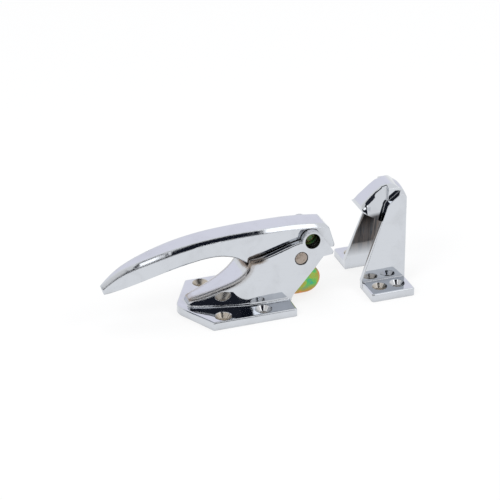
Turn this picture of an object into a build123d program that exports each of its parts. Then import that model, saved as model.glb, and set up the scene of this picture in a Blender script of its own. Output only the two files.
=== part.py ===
from build123d import *

import os
from math import acos, asin, atan2, cos, degrees, hypot, pi, radians, sin, sqrt

# Surface latch and strike for a walk-in refrigerator door, in millimetres.
# The origin is the centre of the latch's four mounting screws, on its back face.
# +X points from the grip towards the strike, +Z away from the door, and the pivot pin lies along Y.

# Latch flange and its countersunk screw holes
latch_screw_pitch_x = 34.9
latch_screw_pitch_y = 60.3
screw_hole_radius = 3.5
countersink_radius = 7.0
countersink_angle = 82
flange_thickness = 7.0
flange_half_width = latch_screw_pitch_y / 2 + 9.0
flange_right = latch_screw_pitch_x / 2 + 26.85
flange_shoulder = -latch_screw_pitch_x / 2 - 11.05
flange_nose_reach = 20.8
flange_nose_radius = 15.0
flange_corner_radius = 2.0
flange_rim_radius = 1.8
root_radius = 2.0
shoulder_radius = 4.0
ledge_radius = 2.0

# Pivot pin and padlock hole
pivot_x = 54.8
pivot_z = 41.5
pin_radius = 4.0
pin_head_radius = 5.4
pin_head_height = 1.0
pin_head_seat_radius = 5.9
pin_head_seat_depth = 1.3
running_gap = 0.05
press_gap = 0.02
padlock_radius = 6.5
padlock_x = pivot_x + 10.2
padlock_z = pivot_z + 13.8
ear_radius = padlock_radius + 2.3

# Handle: a hollow cast lever, widest over the pivot
handle_half_width = 11.7
handle_wall = 3.0
handle_top_wall = 3.6
handle_bevel = 3.2
handle_tip_radius = 1.5
seat_rib_x = 11.0
handle_hub_radius = 10.0
handle_hole_radius = padlock_radius + 0.4
handle_lift = 40
heel_width = 5.0
heel_reach = 14.4
cheek_inside = handle_half_width - handle_wall
sleeve_recess = 1.0

# Housing
side_play = 0.2
washer_thickness = 0.8
washer_radius = 8.0
wall = 4.7
pad_face = handle_half_width + side_play + washer_thickness
housing_half_width = 21.0
wall_lean = 0.07
pad_reach = 10.6
pad_drop = 8.9
lip_height = 39.0
notch_half_width = handle_half_width + 0.8
buffer_x = seat_rib_x + 1.0
buffer_width = 2.8
buffer_length = 12.0
buffer_depth = 1.6
stop_lug_radius = 2.5
stop_lug_arm = 13.2
stop_lug_inside = 9.9
contact_gap = 0.3

# Bolt, the sleeve it turns on and the cross pin that the handle moves it with
sleeve_radius = pin_radius + running_gap + 1.5
bolt_web_half = 3.5
bolt_nose_half = 9.4
bolt_hub_radius = 10.2
bolt_nose_radius = 12.8
bolt_nose_x = pivot_x + 7.7
bolt_nose_z = pivot_z - 25.6
bolt_lobe_radius = 9.0
bolt_lobe_x = pivot_x + 0.2
bolt_lobe_z = pivot_z - 29.5
bolt_saddle_radius = padlock_radius + 0.8
drive_pin_radius = 2.5
drive_pin_arm = 12.8
drive_pin_angle = 149

# Springs
spring_wire_radius = 0.55
spring_wire_facets = 8
spring_coil_radius = 6.9
spring_web_gap = 0.2
spring_tail_height = 36.9
spring_tail_hole_radius = spring_wire_radius + 0.15
spring_tail_end = 10.4
hook_down = 10.6
hook_bend = 1.3

# Strike
strike_x = 130.2
strike_y = 5.5
strike_screw_pitch_x = 15.9
strike_screw_pitch_y = 63.5
strike_countersink_radius = 6.5
strike_half_length = 19.2
strike_half_span = 21.8
strike_top_half_span = 17.4
strike_leg = 4.5
strike_foot_reach = strike_screw_pitch_y / 2 + 12.55
strike_crown = 86.0
strike_leg_top = strike_crown - 5.5
crown_side = strike_crown - 4.2
hump_shoulder = strike_crown + 0.4
hump_crown = strike_crown + 4.6
hump_base = strike_crown - 8.0
hump_corner_radius = 2.0
pocket_half = 12.3
nose_radius = 2.5
crown_corner_radius = 2.5
crown_end_radius = 2.5
foot_rim_radius = 1.5


def polar(arm, angle, x=pivot_x, z=pivot_z):
    """Point in the XZ plane, at a distance and an angle from the pivot axis or from (x, z)."""
    return (x + arm * cos(radians(angle)), z + arm * sin(radians(angle)))


def half_width_at(z, inset=0.0):
    """Half-width of the housing at a height, its sides leaning inwards, less an inset."""
    return housing_half_width - wall_lean * (z - flange_thickness) - inset


# Side view of the housing: the concave ramp up to the handle, then the ledge beside it
ramp = [(-36.0, 14.2), (-22.0, 18.4), (-9.0, 23.4), (2.2, 29.6), (9.0, 37.6), (11.0, 45.0)]
ledge = [ramp[-1], (28.9, 48.4), (43.5, 52.8), (56.4, 55.9)]
beak_tip = (83.4, 43.3)
beak_distance = hypot(beak_tip[0] - padlock_x, beak_tip[1] - padlock_z)
beak_tangent = degrees(
    atan2(beak_tip[1] - padlock_z, beak_tip[0] - padlock_x) + acos(ear_radius / beak_distance)
)
mouth = [(82.2, 40.9), (74.2, 40.3), (67.2, 31.7), (flange_right + 2.8, 10.0), (flange_right + 1.2, 7.0)]
hull_foot = (-38.6, 12.4)

# Plan half-widths of the boat-shaped hull and of the hollow in it, at three heights
hull_straight = 24.0
hull_heights = (0.0, 24.0, 70.0)
hull_stations = (
    [(10.0, 21.0), (-10.0, 18.9), (-32.0, 13.2), (-43.0, 0.0)],
    [(10.0, 18.3), (-10.0, 11.3), (-30.0, 5.5), (-37.5, 0.0)],
    [(12.0, 15.2), (2.0, 10.2), (-5.0, 5.2), (-8.0, 0.0)],
)
hollow_heights = (-1.0, 24.0, 75.0)
hollow_stations = (
    [(10.0, 16.3), (-10.0, 14.2), (-24.0, 9.5), (-31.0, 0.0)],
    [(10.0, 13.6), (-10.0, 6.9), (-20.0, 4.0), (-26.0, 0.0)],
    [(12.0, 10.6), (6.0, 8.6), (0.0, 4.4), (-3.0, 0.0)],
)
hollow_shift = (4.2, -3.6)
hull_end = 100.0


def half_section(height, half_width, stations):
    """Closed plan outline of the hull's near half at one height, up to the X axis."""
    near = [(hull_straight, -half_width)] + [(x, -half) for x, half in stations]
    with BuildSketch(Plane.XY.offset(height)) as section:
        with BuildLine():
            Polyline((hull_end, 0), (hull_end, -half_width), near[0])
            Spline(*near, tangents=[(-1, 0), (0, 1)])
            Line(near[-1], (hull_end, 0))
        make_face()
    return section.sketch


# Solid outer form of the housing
with BuildPart() as hull:
    loft(sections=[
        half_section(height, half_width_at(height), stations)
        for height, stations in zip(hull_heights, hull_stations)
    ])
    mirror(about=Plane.XZ)
    with BuildSketch(Plane.XZ.offset(-housing_half_width - 5)):
        with BuildLine():
            Polyline(
                ledge[-1],
                (padlock_x, padlock_z),
                polar(ear_radius, beak_tangent, padlock_x, padlock_z),
                beak_tip,
                *mouth,
                (flange_right + 0.3, 0),
                (hull_stations[0][-1][0], 0),
                hull_foot,
                ramp[0],
            )
            Spline(*ramp)
            Spline(*ledge)
        make_face()
        with Locations((padlock_x, padlock_z)):
            Circle(ear_radius)
    extrude(amount=2 * housing_half_width + 10, mode=Mode.INTERSECT)

# Hollow that the bolt and the handle work in, open to the door, to the strike and to the top
inner_ramp = [(x + hollow_shift[0], z + hollow_shift[1]) for x, z in ramp]
with BuildPart() as hollow:
    loft(sections=[
        half_section(height, half_width_at(height, wall), stations)
        for height, stations in zip(hollow_heights, hollow_stations)
    ])
    mirror(about=Plane.XZ)
    with BuildSketch(Plane.XZ):
        with BuildLine():
            Spline(*inner_ramp)
            Polyline(
                inner_ramp[-1],
                (inner_ramp[-1][0], 74),
                (hull_end - 1, 74),
                (hull_end - 1, -1),
                (inner_ramp[0][0] - 2, -1),
                inner_ramp[0],
            )
        make_face()
    extrude(amount=housing_half_width, both=True, mode=Mode.INTERSECT)
    with BuildSketch(Plane.XZ) as pad:
        with Locations((pivot_x - pad_reach, pivot_z - pad_drop)):
            Rectangle(hull_end, hull_end, align=(Align.MIN, Align.MIN))
        fillet(pad.vertices().sort_by(Axis.X).sort_by(Axis.Z)[0:1], 0.5)
    extrude(amount=housing_half_width, both=True, mode=Mode.SUBTRACT)
    with BuildSketch(Plane.XZ):
        with Locations((pivot_x - pad_reach - 0.4, pivot_z - pad_drop - 1)):
            Rectangle(40, 40, align=(Align.MIN, Align.MIN))
    extrude(amount=pad_face, both=True)

# Latch housing: flange and hull in one casting, with the ears, the lip and the stop lugs
lug_angle = -90 - handle_lift - degrees(asin((stop_lug_radius + heel_width / 2 + 0.1) / stop_lug_arm))
lug_x, lug_z = polar(stop_lug_arm, lug_angle)
pin_seat_half = half_width_at(pivot_z, pin_head_seat_depth)
coil_near = bolt_web_half + spring_web_gap + spring_wire_radius
coil_far = cheek_inside - spring_web_gap - spring_wire_radius
nose_apex = flange_shoulder - flange_nose_reach
nose_front = hull_stations[0][-1][0]


def on_flange_top(edge):
    """True for an edge that lies in the plane of the flange's upper face."""
    box = edge.bounding_box()
    return max(abs(box.min.Z - flange_thickness), abs(box.max.Z - flange_thickness)) < 0.01


def is_root(edge):
    """True for an edge of the flange's upper face that runs round the foot of the hull."""
    box = edge.bounding_box()
    inside = box.max.X < flange_right + 0.1 and box.min.X > nose_front
    return on_flange_top(edge) and inside and max(-box.min.Y, box.max.Y) < housing_half_width + 0.1


with BuildPart() as latch_housing:
    with BuildSketch() as flange_outline:
        with BuildLine():
            Polyline(
                (flange_right, -flange_half_width),
                (flange_shoulder, -flange_half_width),
                (nose_apex, 0),
                (flange_shoulder, flange_half_width),
                (flange_right, flange_half_width),
                close=True,
            )
        make_face()
        fillet(flange_outline.vertices().sort_by(Axis.X)[0:1], flange_nose_radius)
        fillet(flange_outline.vertices().sort_by(Axis.Y)[0:2], flange_corner_radius)
        fillet(flange_outline.vertices().sort_by(Axis.Y)[-2:], flange_corner_radius)
    extrude(amount=flange_thickness)
    add(hull.part)
    fillet([edge for edge in latch_housing.edges() if is_root(edge)], root_radius)
    rim = [
        edge for edge in latch_housing.edges()
        if on_flange_top(edge) and edge.geom_type != GeomType.BSPLINE
        and (abs(edge.center().Y) > housing_half_width or edge.center().X < nose_front)
    ]
    fillet(rim, flange_rim_radius)
    shoulders = [
        edge for edge in latch_housing.edges()
        if abs(edge.center().Y) > 8 and flange_thickness + 10 < edge.center().Z < ledge[-1][1]
        and edge.center().X < pivot_x and edge.length > 6
    ]
    fillet([edge for edge in shoulders if edge.center().Z < ramp[-1][1] - 1], shoulder_radius)
    shoulders = [
        edge for edge in latch_housing.edges()
        if abs(edge.center().Y) > 15 and ramp[-1][1] < edge.center().Z < ledge[-1][1] + 0.1
        and edge.center().X < pivot_x and edge.length > 6
    ]
    fillet(shoulders, ledge_radius)
    add(hollow.part, mode=Mode.SUBTRACT)
    with BuildSketch(Plane.XY.offset(lip_height)):
        with Locations((ramp[-1][0], 0)):
            Rectangle(16, 2 * notch_half_width)
    extrude(amount=30, mode=Mode.SUBTRACT)
    with BuildSketch(Plane.XY.offset(lip_height)):
        with Locations((buffer_x, 0)):
            Rectangle(buffer_width, buffer_length)
    extrude(amount=-buffer_depth - press_gap, mode=Mode.SUBTRACT)
    with BuildSketch(Plane.XZ):
        with Locations((lug_x, lug_z)):
            Circle(stop_lug_radius)
    extrude(amount=half_width_at(lug_z, wall - 1), both=True)
    with BuildSketch(Plane.XZ):
        with Locations((lug_x, lug_z)):
            Circle(stop_lug_radius + 0.3)
    extrude(amount=stop_lug_inside, both=True, mode=Mode.SUBTRACT)
    with BuildSketch(Plane.XZ):
        with Locations((pivot_x, pivot_z)):
            Circle(pin_radius + press_gap)
        with Locations((padlock_x, padlock_z)):
            Circle(padlock_radius)
    extrude(amount=housing_half_width + 1, both=True, mode=Mode.SUBTRACT)
    for side in (-1, 1):
        with BuildSketch(Plane.XZ.offset(side * pin_seat_half)):
            with Locations((pivot_x, pivot_z)):
                Circle(pin_head_seat_radius)
        extrude(amount=side * 4, mode=Mode.SUBTRACT)
    with BuildSketch(Plane.YZ.offset(spring_tail_end)):
        with Locations((coil_far, spring_tail_height)):
            Circle(spring_tail_hole_radius)
    extrude(amount=5, mode=Mode.SUBTRACT)
    with Locations((0, 0, flange_thickness)):
        with GridLocations(latch_screw_pitch_x, latch_screw_pitch_y, 2, 2):
            CounterSinkHole(screw_hole_radius, countersink_radius, flange_thickness, countersink_angle)
latch_housing.part.label = "latch_housing"
export_step(latch_housing.part, "parts/latch_housing.step")

# Handle: side view times plan view, with bevelled top edges and a hollow underside
handle_top = [
    (-112.4, 37.0), (-105.0, 43.3), (-96.0, 49.2), (-78.0, 56.2), (-50.0, 63.6),
    (-20.0, 67.8), (20.0, 69.2), (50.0, 68.8), (78.5, 65.8),
]
handle_front = [(81.6, 62.6), (86.6, 46.2), (86.0, 44.0), (pivot_x, 44.0)]
handle_under = [
    (12.6, 40.3), (1.7, 47.5), (-12.5, 51.9), (-36.0, 50.6), (-66.0, 43.3), (-96.0, 33.8), (-110.4, 30.3),
]
grip_plan = [
    (-112.4, -3.4), (-96.0, -6.2), (-78.0, -8.7), (-50.0, -10.75), (-20.0, -11.5), (10.0, -handle_half_width),
]
handle_right = 90.0
handle_ceiling = 90.0

with BuildPart() as handle:
    with BuildSketch(Plane.XZ.offset(-handle_half_width - 1)) as handle_profile:
        with BuildLine():
            Spline(*handle_top)
            Polyline(handle_top[-1], *handle_front, (pivot_x, handle_under[0][1]), *handle_under[0:2])
            Spline(*handle_under[1:])
            Line(handle_under[-1], handle_top[0])
        make_face()
    extrude(amount=2 * handle_half_width + 2)
    with BuildSketch():
        with BuildLine():
            Polyline((handle_right, handle_half_width), (handle_right, -handle_half_width), grip_plan[-1])
            Spline(*grip_plan, tangents=[(1, -0.24), (1, 0)])
            Line(grip_plan[0], (grip_plan[0][0], -grip_plan[0][1]))
            Spline(*[(x, -y) for x, y in grip_plan], tangents=[(1, 0.24), (1, 0)])
            Line((grip_plan[-1][0], handle_half_width), (handle_right, handle_half_width))
        make_face()
    extrude(amount=handle_ceiling, mode=Mode.INTERSECT)
    bevels = [
        edge for edge in handle.edges()
        if edge.geom_type == GeomType.BSPLINE and edge.bounding_box().max.Z > 60 and abs(edge.center().Y) > 2
    ]
    chamfer(bevels, handle_bevel)
    tip = [
        edge for edge in handle.edges()
        if edge.center().X < handle_under[-1][0] and abs(edge.center().Y) > 3 and edge.length > 2
    ]
    fillet(tip, handle_tip_radius)

# Hollow inside the handle, open underneath
with BuildPart() as handle_hollow:
    with BuildSketch(Plane.XZ.offset(-cheek_inside)):
        with BuildLine():
            Spline(*[(x, z - handle_top_wall) for x, z in handle_top[2:]])
            Polyline(
                (handle_top[-1][0], handle_top[-1][1] - handle_top_wall),
                (handle_front[1][0] - handle_top_wall, handle_front[1][1]),
                (handle_front[1][0] - handle_top_wall, 20),
                (handle_top[2][0], 20),
                (handle_top[2][0], handle_top[2][1] - handle_top_wall),
            )
        make_face()
    extrude(amount=2 * cheek_inside)
    with BuildSketch():
        with BuildLine():
            Polyline((handle_right, cheek_inside), (handle_right, -cheek_inside), (10.0, -cheek_inside))
            Spline(*[(x, y + handle_wall) for x, y in reversed(grip_plan[1:])])
            Line((grip_plan[1][0], grip_plan[1][1] + handle_wall), (grip_plan[1][0], -grip_plan[1][1] - handle_wall))
            Spline(*[(x, -y - handle_wall) for x, y in grip_plan[1:]])
            Line((10.0, cheek_inside), (handle_right, cheek_inside))
        make_face()
    extrude(amount=handle_ceiling, mode=Mode.INTERSECT)

drive_x, drive_z = polar(drive_pin_arm, drive_pin_angle)
with BuildPart() as cheeks:
    with BuildSketch(Plane.XZ.offset(-handle_half_width)):
        with Locations((pivot_x, pivot_z)):
            Circle(handle_hub_radius)
        with Locations((pivot_x, pivot_z - heel_reach / 2)):
            Rectangle(heel_width, heel_reach)
    extrude(amount=2 * handle_half_width)
    fillet(cheeks.edges().filter_by(Axis.Y).sort_by(Axis.Z)[0:2], heel_width / 2 - 0.2)

handle_mass = handle.part + cheeks.part - handle_hollow.part
with BuildPart() as handle:
    add(handle_mass)
    with BuildSketch(Plane.XZ.offset(-cheek_inside)):
        with Locations((pivot_x, pivot_z)):
            Circle(handle_hub_radius + 4)
    extrude(amount=2 * cheek_inside, mode=Mode.SUBTRACT)
    with BuildSketch(Plane.XZ.offset(-cheek_inside - 0.1)):
        with BuildLine():
            Polyline(
                (seat_rib_x, handle_under[0][1]),
                (seat_rib_x + handle_wall, handle_under[0][1]),
                (seat_rib_x + handle_wall, handle_top[6][1] - handle_top_wall + 1),
                (seat_rib_x, handle_top[6][1] - handle_top_wall + 1),
                close=True,
            )
        make_face()
    extrude(amount=2 * cheek_inside + 0.2)
    with BuildSketch(Plane.XZ):
        with Locations((pivot_x, pivot_z)):
            Circle(pin_radius + running_gap)
        with Locations((padlock_x, padlock_z)):
            Circle(handle_hole_radius)
        with Locations((drive_x, drive_z)):
            Circle(drive_pin_radius + press_gap)
    extrude(amount=handle_half_width + 1, both=True, mode=Mode.SUBTRACT)
    with BuildSketch(Plane.XZ):
        with Locations((pivot_x, pivot_z)):
            Circle(sleeve_radius + press_gap)
    extrude(amount=cheek_inside + sleeve_recess, both=True, mode=Mode.SUBTRACT)
handle.part.label = "handle"
export_step(handle.part, "parts/handle.step")

# Cross pin that the handle carries, and the sleeve pressed into its cheeks round the pivot pin
with BuildPart() as drive_pin:
    with BuildSketch(Plane.XZ):
        with Locations((drive_x, drive_z)):
            Circle(drive_pin_radius)
    extrude(amount=handle_half_width - 0.05, both=True)
    chamfer(drive_pin.edges(), 0.4)
drive_pin.part.label = "drive_pin"
export_step(drive_pin.part, "parts/drive_pin.step")

with BuildPart() as pivot_sleeve:
    with BuildSketch(Plane.XZ):
        with Locations((pivot_x, pivot_z)):
            Circle(sleeve_radius)
            Circle(pin_radius + running_gap, mode=Mode.SUBTRACT)
    extrude(amount=cheek_inside + sleeve_recess - press_gap, both=True)
pivot_sleeve.part.label = "pivot_sleeve"
export_step(pivot_sleeve.part, "parts/pivot_sleeve.step")

# Pivot pin with riveted heads sunk in the housing's sides
with BuildPart() as pivot_pin:
    with BuildSketch(Plane.XZ):
        with Locations((pivot_x, pivot_z)):
            Circle(pin_radius)
    extrude(amount=pin_seat_half, both=True)
    for side in (-1, 1):
        with BuildSketch(Plane.XZ.offset(side * pin_seat_half)):
            with Locations((pivot_x, pivot_z)):
                Circle(pin_head_radius)
        extrude(amount=side * pin_head_height)
    chamfer(pivot_pin.faces().sort_by(Axis.Y)[0].edges() + pivot_pin.faces().sort_by(Axis.Y)[-1].edges(), 0.4)
pivot_pin.part.label = "pivot_pin"
export_step(pivot_pin.part, "parts/pivot_pin.step")

# Thrust washers between the handle's cheeks and the ears
for name, side in (("near_washer", -1), ("far_washer", 1)):
    with BuildPart() as washer:
        with BuildSketch(Plane.XZ.offset(-side * (handle_half_width + side_play / 2))):
            with Locations((pivot_x, pivot_z)):
                Circle(washer_radius)
                Circle(pin_radius + running_gap, mode=Mode.SUBTRACT)
        extrude(amount=-side * washer_thickness)
    washer.part.label = name
    export_step(washer.part, "parts/" + name + ".step")

# Latch bolt: hub and web, the thick round nose, and the horn that lies round the padlock hole
nub_angle = drive_pin_angle - degrees(asin((drive_pin_radius + contact_gap) / drive_pin_arm))
with BuildPart() as latch_bolt:
    with BuildSketch(Plane.XZ) as web:
        with Locations((pivot_x, pivot_z)):
            Circle(bolt_hub_radius)
        with Locations((bolt_nose_x, bolt_nose_z)):
            Circle(bolt_nose_radius)
        with Locations((bolt_lobe_x, bolt_lobe_z)):
            Circle(bolt_lobe_radius)
        make_hull()
    extrude(amount=bolt_web_half, both=True)
    with BuildSketch(Plane.XZ) as arm:
        Polygon(
            (pivot_x, pivot_z),
            polar(6.0, nub_angle),
            polar(15.4, nub_angle),
            polar(16.6, nub_angle - 12),
            polar(20.4, 91),
            polar(20.4, 80),
            polar(10.5, 40),
            align=None,
        )
        fillet(arm.vertices().sort_by(Axis.Z)[-2:], 1.5)
        with Locations((padlock_x, padlock_z)):
            Circle(bolt_saddle_radius, mode=Mode.SUBTRACT)
    extrude(amount=bolt_web_half, both=True)
    with BuildSketch(Plane.XZ):
        with Locations((padlock_x, padlock_z)):
            Circle(bolt_saddle_radius)
    extrude(amount=bolt_web_half, both=True, mode=Mode.SUBTRACT)
    with BuildSketch(Plane.XZ):
        with Locations((bolt_nose_x, bolt_nose_z)):
            Circle(bolt_nose_radius)
        with Locations((bolt_lobe_x, bolt_lobe_z)):
            Circle(bolt_lobe_radius)
        make_hull()
        with Locations((pivot_x, pivot_z)):
            Circle(heel_reach + 0.6, mode=Mode.SUBTRACT)
    extrude(amount=bolt_nose_half, both=True)
    nose_rims = [
        edge for edge in latch_bolt.edges()
        if abs(abs(edge.center().Y) - bolt_nose_half) < 0.1 and edge.length > 30
    ]
    chamfer(nose_rims, 1.0)
    with BuildSketch(Plane.XZ):
        with Locations((pivot_x, pivot_z)):
            Circle(sleeve_radius + running_gap)
    extrude(amount=bolt_nose_half + 1, both=True, mode=Mode.SUBTRACT)
latch_bolt.part.label = "latch_bolt"
export_step(latch_bolt.part, "parts/latch_bolt.step")


# Torsion springs: a coil round the sleeve with a leg at each end, on either side of the bolt's web
def coil_stations(first_angle, sweep_angle, first_y, last_y):
    """Points and headings at about every quarter turn of a coil round the pivot."""
    steps = round(abs(sweep_angle) / 90)
    sense = 1 if sweep_angle > 0 else -1
    rise = (last_y - first_y) / (radians(abs(sweep_angle)) * spring_coil_radius)
    stations = []
    for step in range(steps + 1):
        angle = first_angle + sweep_angle * step / steps
        x, z = polar(spring_coil_radius, angle)
        heading = Vector(-sense * sin(radians(angle)), rise, sense * cos(radians(angle)))
        stations.append((Vector(x, first_y + (last_y - first_y) * step / steps, z), heading.normalized()))
    return stations


def spring_path(stations):
    """Lines and pairs of tangent arcs through the stations."""
    edges = []
    for (start, heading), (end, end_heading) in zip(stations, stations[1:]):
        chord = end - start
        along = heading + end_heading
        spread = 2 * (1 - heading.dot(end_heading))
        if spread < 1e-6:
            edges.append(Edge.make_line(start, end))
            continue
        reach = (sqrt(chord.dot(along) ** 2 + spread * chord.dot(chord)) - chord.dot(along)) / spread
        middle = (start + end + (heading - end_heading) * reach) * 0.5
        turn = (middle - start - heading * reach).normalized()
        edges.append(Edge.make_tangent_arc(start, heading, middle))
        edges.append(Edge.make_tangent_arc(middle, turn, end))
    return Wire(edges)


def least_gap(path):
    """Least gap between two stretches of the wire that are over half a turn apart."""
    count = 400
    points = [path.position_at(index / count) for index in range(count + 1)]
    apart = int(pi * spring_coil_radius / path.length * count)
    return min(
        (points[j] - points[i]).length - 2 * spring_wire_radius
        for i in range(count + 1) for j in range(i + apart, count + 1)
    )


def toward(angle):
    """Unit heading in the XZ plane."""
    return Vector(cos(radians(angle)), 0, sin(radians(angle)))


def wound(label, stations):
    """Spring solid: the wire, as an eight-sided section, swept along the path through the stations."""
    path = spring_path(stations)
    with BuildPart() as wire_form:
        with BuildSketch(Plane(origin=stations[0][0], z_dir=stations[0][1])):
            RegularPolygon(spring_wire_radius, spring_wire_facets)
        sweep(path=path)
    print(label, "least gap to itself", round(least_gap(path), 2), "mm")
    wire_form.part.label = label
    return wire_form.part


leg_turn = degrees(acos((spring_coil_radius - drive_pin_radius - spring_wire_radius - 0.05) / drive_pin_arm))
leg_length = drive_pin_arm * sin(radians(leg_turn)) + 3

# Bolt spring: one leg behind the cross pin, the other over the trailing edge of the web
behind = drive_pin_angle + leg_turn
lobe_arm = hypot(bolt_lobe_x - pivot_x, bolt_lobe_z - pivot_z)
lobe_angle = degrees(atan2(bolt_lobe_z - pivot_z, bolt_lobe_x - pivot_x))
trailing_angle = lobe_angle - 90 - degrees(asin((bolt_lobe_radius - bolt_hub_radius) / lobe_arm))
hook_x, hook_z = polar(bolt_hub_radius + spring_wire_radius + 0.07, trailing_angle)
hook_x, hook_z = polar(hook_down, trailing_angle + 90, hook_x, hook_z)
web_hook = Vector(hook_x, -coil_near, hook_z)
hook_distance = hypot(hook_x - pivot_x, hook_z - pivot_z)
leaving = (
    degrees(atan2(hook_z - pivot_z, hook_x - pivot_x)) + 360
    - degrees(acos(spring_coil_radius / hook_distance))
)
coil = coil_stations(behind, leaving - behind + 720, -coil_far, -coil_near)
coil[0] = (coil[0][0], toward(behind + 90))
coil[-1] = (coil[-1][0], toward(leaving + 90))
bolt_spring = wound("bolt_spring", [
    (coil[0][0] - toward(behind + 90) * leg_length, toward(behind + 90)),
    *coil,
    (web_hook - toward(leaving + 90) * hook_bend, toward(leaving + 90)),
    (web_hook + Vector(0, hook_bend, 0), Vector(0, 1, 0)),
    (web_hook + Vector(0, coil_near - 0.5, 0), Vector(0, 1, 0)),
])
export_step(bolt_spring, "parts/bolt_spring.step")

# Handle spring: one leg on top of the cross pin, the tail in a hole in the back of the ramp
above = drive_pin_angle - leg_turn
tail_leaves = 200
coil = coil_stations(above, tail_leaves - above - 720, coil_near, coil_far)
coil[0] = (coil[0][0], toward(above - 90))
coil[-1] = (coil[-1][0], toward(tail_leaves - 90))
handle_spring = wound("handle_spring", [
    (coil[0][0] - toward(above - 90) * leg_length, toward(above - 90)),
    *coil,
    (Vector(45.4, coil_far, 42.2), toward(183)),
    (Vector(20.0, coil_far, 40.87), toward(183)),
    (Vector(16.9, coil_far, 38.6), toward(255)),
    (Vector(14.6, coil_far, spring_tail_height), toward(180)),
    (Vector(spring_tail_end + 0.2, coil_far, spring_tail_height), toward(180)),
])
export_step(handle_spring, "parts/handle_spring.step")

# Rubber buffer let into the lip, that the handle's seat rib comes down on
with BuildPart() as handle_buffer:
    with BuildSketch(Plane.XY.offset(lip_height - buffer_depth)):
        with Locations((buffer_x, 0)):
            Rectangle(buffer_width - 2 * press_gap, buffer_length - 2 * press_gap)
    extrude(amount=buffer_depth + handle_under[0][1] - contact_gap - lip_height)
    chamfer(handle_buffer.faces().sort_by(Axis.Z)[-1].edges(), 0.3)
handle_buffer.part.label = "handle_buffer"
export_step(handle_buffer.part, "parts/handle_buffer.step")

# Strike: two leaning legs on feet, a crowned head across them and the nose that the bolt hooks under
strike_left = strike_x - strike_half_length
strike_right = strike_x + strike_half_length
inner_foot = strike_half_span - strike_leg
inner_top = strike_top_half_span - strike_leg
hump_half = inner_top - 0.3
arch_top = strike_crown - 20.0

# Sections of the nose: x from the left end, then half-width and height over the crown at top and bottom
nose_sections = [
    (2.4, 7.2, -13.8, 13.5, -17.8),
    (6.2, 7.6, -9.7, 15.0, -19.6),
    (15.3, 7.6, -1.8, 15.0, -25.7),
    (20.5, 7.8, 1.8, 15.0, -28.8),
    (25.6, 8.0, 3.0, 14.2, -27.5),
]
nose_back = strike_left + nose_sections[-1][0]


def above_crown(points):
    """Side-view points given from the strike's left end and from its crown."""
    return [(strike_left + x, strike_crown + z) for x, z in points]


with BuildPart() as strike_body:
    with BuildSketch(Plane.YZ.offset(strike_left - 2)) as arch:
        with BuildLine():
            Polyline(
                (-strike_top_half_span, crown_side), (-strike_half_span, 0),
                (strike_half_span, 0), (strike_top_half_span, crown_side),
            )
            ThreePointArc(
                (strike_top_half_span, crown_side), (0, strike_crown), (-strike_top_half_span, crown_side)
            )
        make_face()
        fillet([corner for corner in arch.vertices() if corner.Z > crown_side - 1], crown_corner_radius)
        with BuildLine():
            Polyline(
                (-inner_foot, 0), (-inner_top - 0.7, arch_top), (inner_top + 0.7, arch_top), (inner_foot, 0),
                close=True
            )
        make_face(mode=Mode.SUBTRACT)
    extrude(amount=2 * strike_half_length + 5)
    with BuildSketch(Plane.XZ.offset(-strike_half_span - 1)):
        with BuildLine():
            Polyline(
                (strike_left, 0), (strike_left - 0.5, flange_thickness + 1),
                *above_crown([(22.8, -12.7), (24.8, -10.4), (25.3, 4.0), (39.6, 4.0)]),
                (strike_right + 1.2, strike_leg_top), (strike_right, 0), close=True
            )
        make_face()
    extrude(amount=2 * strike_half_span + 2, mode=Mode.INTERSECT)
    crown_end = [
        edge for edge in strike_body.edges()
        if edge.center().X > strike_right and edge.center().Z > strike_leg_top + 1 and edge.length > 2
    ]
    fillet(crown_end, crown_end_radius)
    with BuildSketch(Plane.XZ.offset(-strike_half_span - 1)):
        Polygon(
            *above_crown([(24.8, -10.4), (31.3, -5.4), (37.0, -1.0), (37.0, 6.0), (19.0, 6.0), (19.0, -10.4)]),
            align=None
        )
    extrude(amount=strike_half_span + 1 - hump_half, mode=Mode.SUBTRACT)
    mirror(about=Plane.XZ, mode=Mode.INTERSECT)


# Hump on the crown that the nose's ramp runs up to, falling away to the right
hump_top = above_crown([(25.3, 3.0), (29.0, 3.1), (34.0, 1.0), (38.0, -1.8)])
with BuildPart() as strike_hump:
    with BuildSketch(Plane.YZ.offset(hump_top[0][0])) as hump_arch:
        with BuildLine():
            Polyline(
                (-hump_half, hump_shoulder), (-hump_half, hump_base),
                (hump_half, hump_base), (hump_half, hump_shoulder),
            )
            ThreePointArc((hump_half, hump_shoulder), (0, hump_crown), (-hump_half, hump_shoulder))
        make_face()
        fillet([corner for corner in hump_arch.vertices() if corner.Z > hump_base + 1], hump_corner_radius)
    extrude(amount=hump_top[-1][0] - hump_top[0][0])
    with BuildSketch(Plane.XZ.offset(-hump_half - 1)):
        with BuildLine():
            Polyline(hump_top[-1], (hump_top[-1][0], hump_base), (hump_top[0][0], hump_base), hump_top[0])
            Spline(*hump_top)
        make_face()
    extrude(amount=2 * hump_half + 2, mode=Mode.INTERSECT)


def nose_section(x, top_half, top, bottom_half, bottom):
    """Trapezoid across the strike's nose at one station."""
    (at, upper), (_, lower) = above_crown([(x, top), (x, bottom)])
    with BuildSketch(Plane.YZ.offset(at)) as section:
        Polygon((-top_half, upper), (top_half, upper), (bottom_half, lower), (-bottom_half, lower), align=None)
    return section.sketch


with BuildPart() as strike_nose:
    loft(sections=[nose_section(*station) for station in nose_sections], ruled=True)
    top_edges = [
        edge for edge in strike_nose.edges()
        if 7 < abs(edge.center().Y) < 11 and edge.center().Z > strike_crown - 14 and edge.length > 4.4
    ]
    fillet(top_edges, nose_radius)

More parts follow.
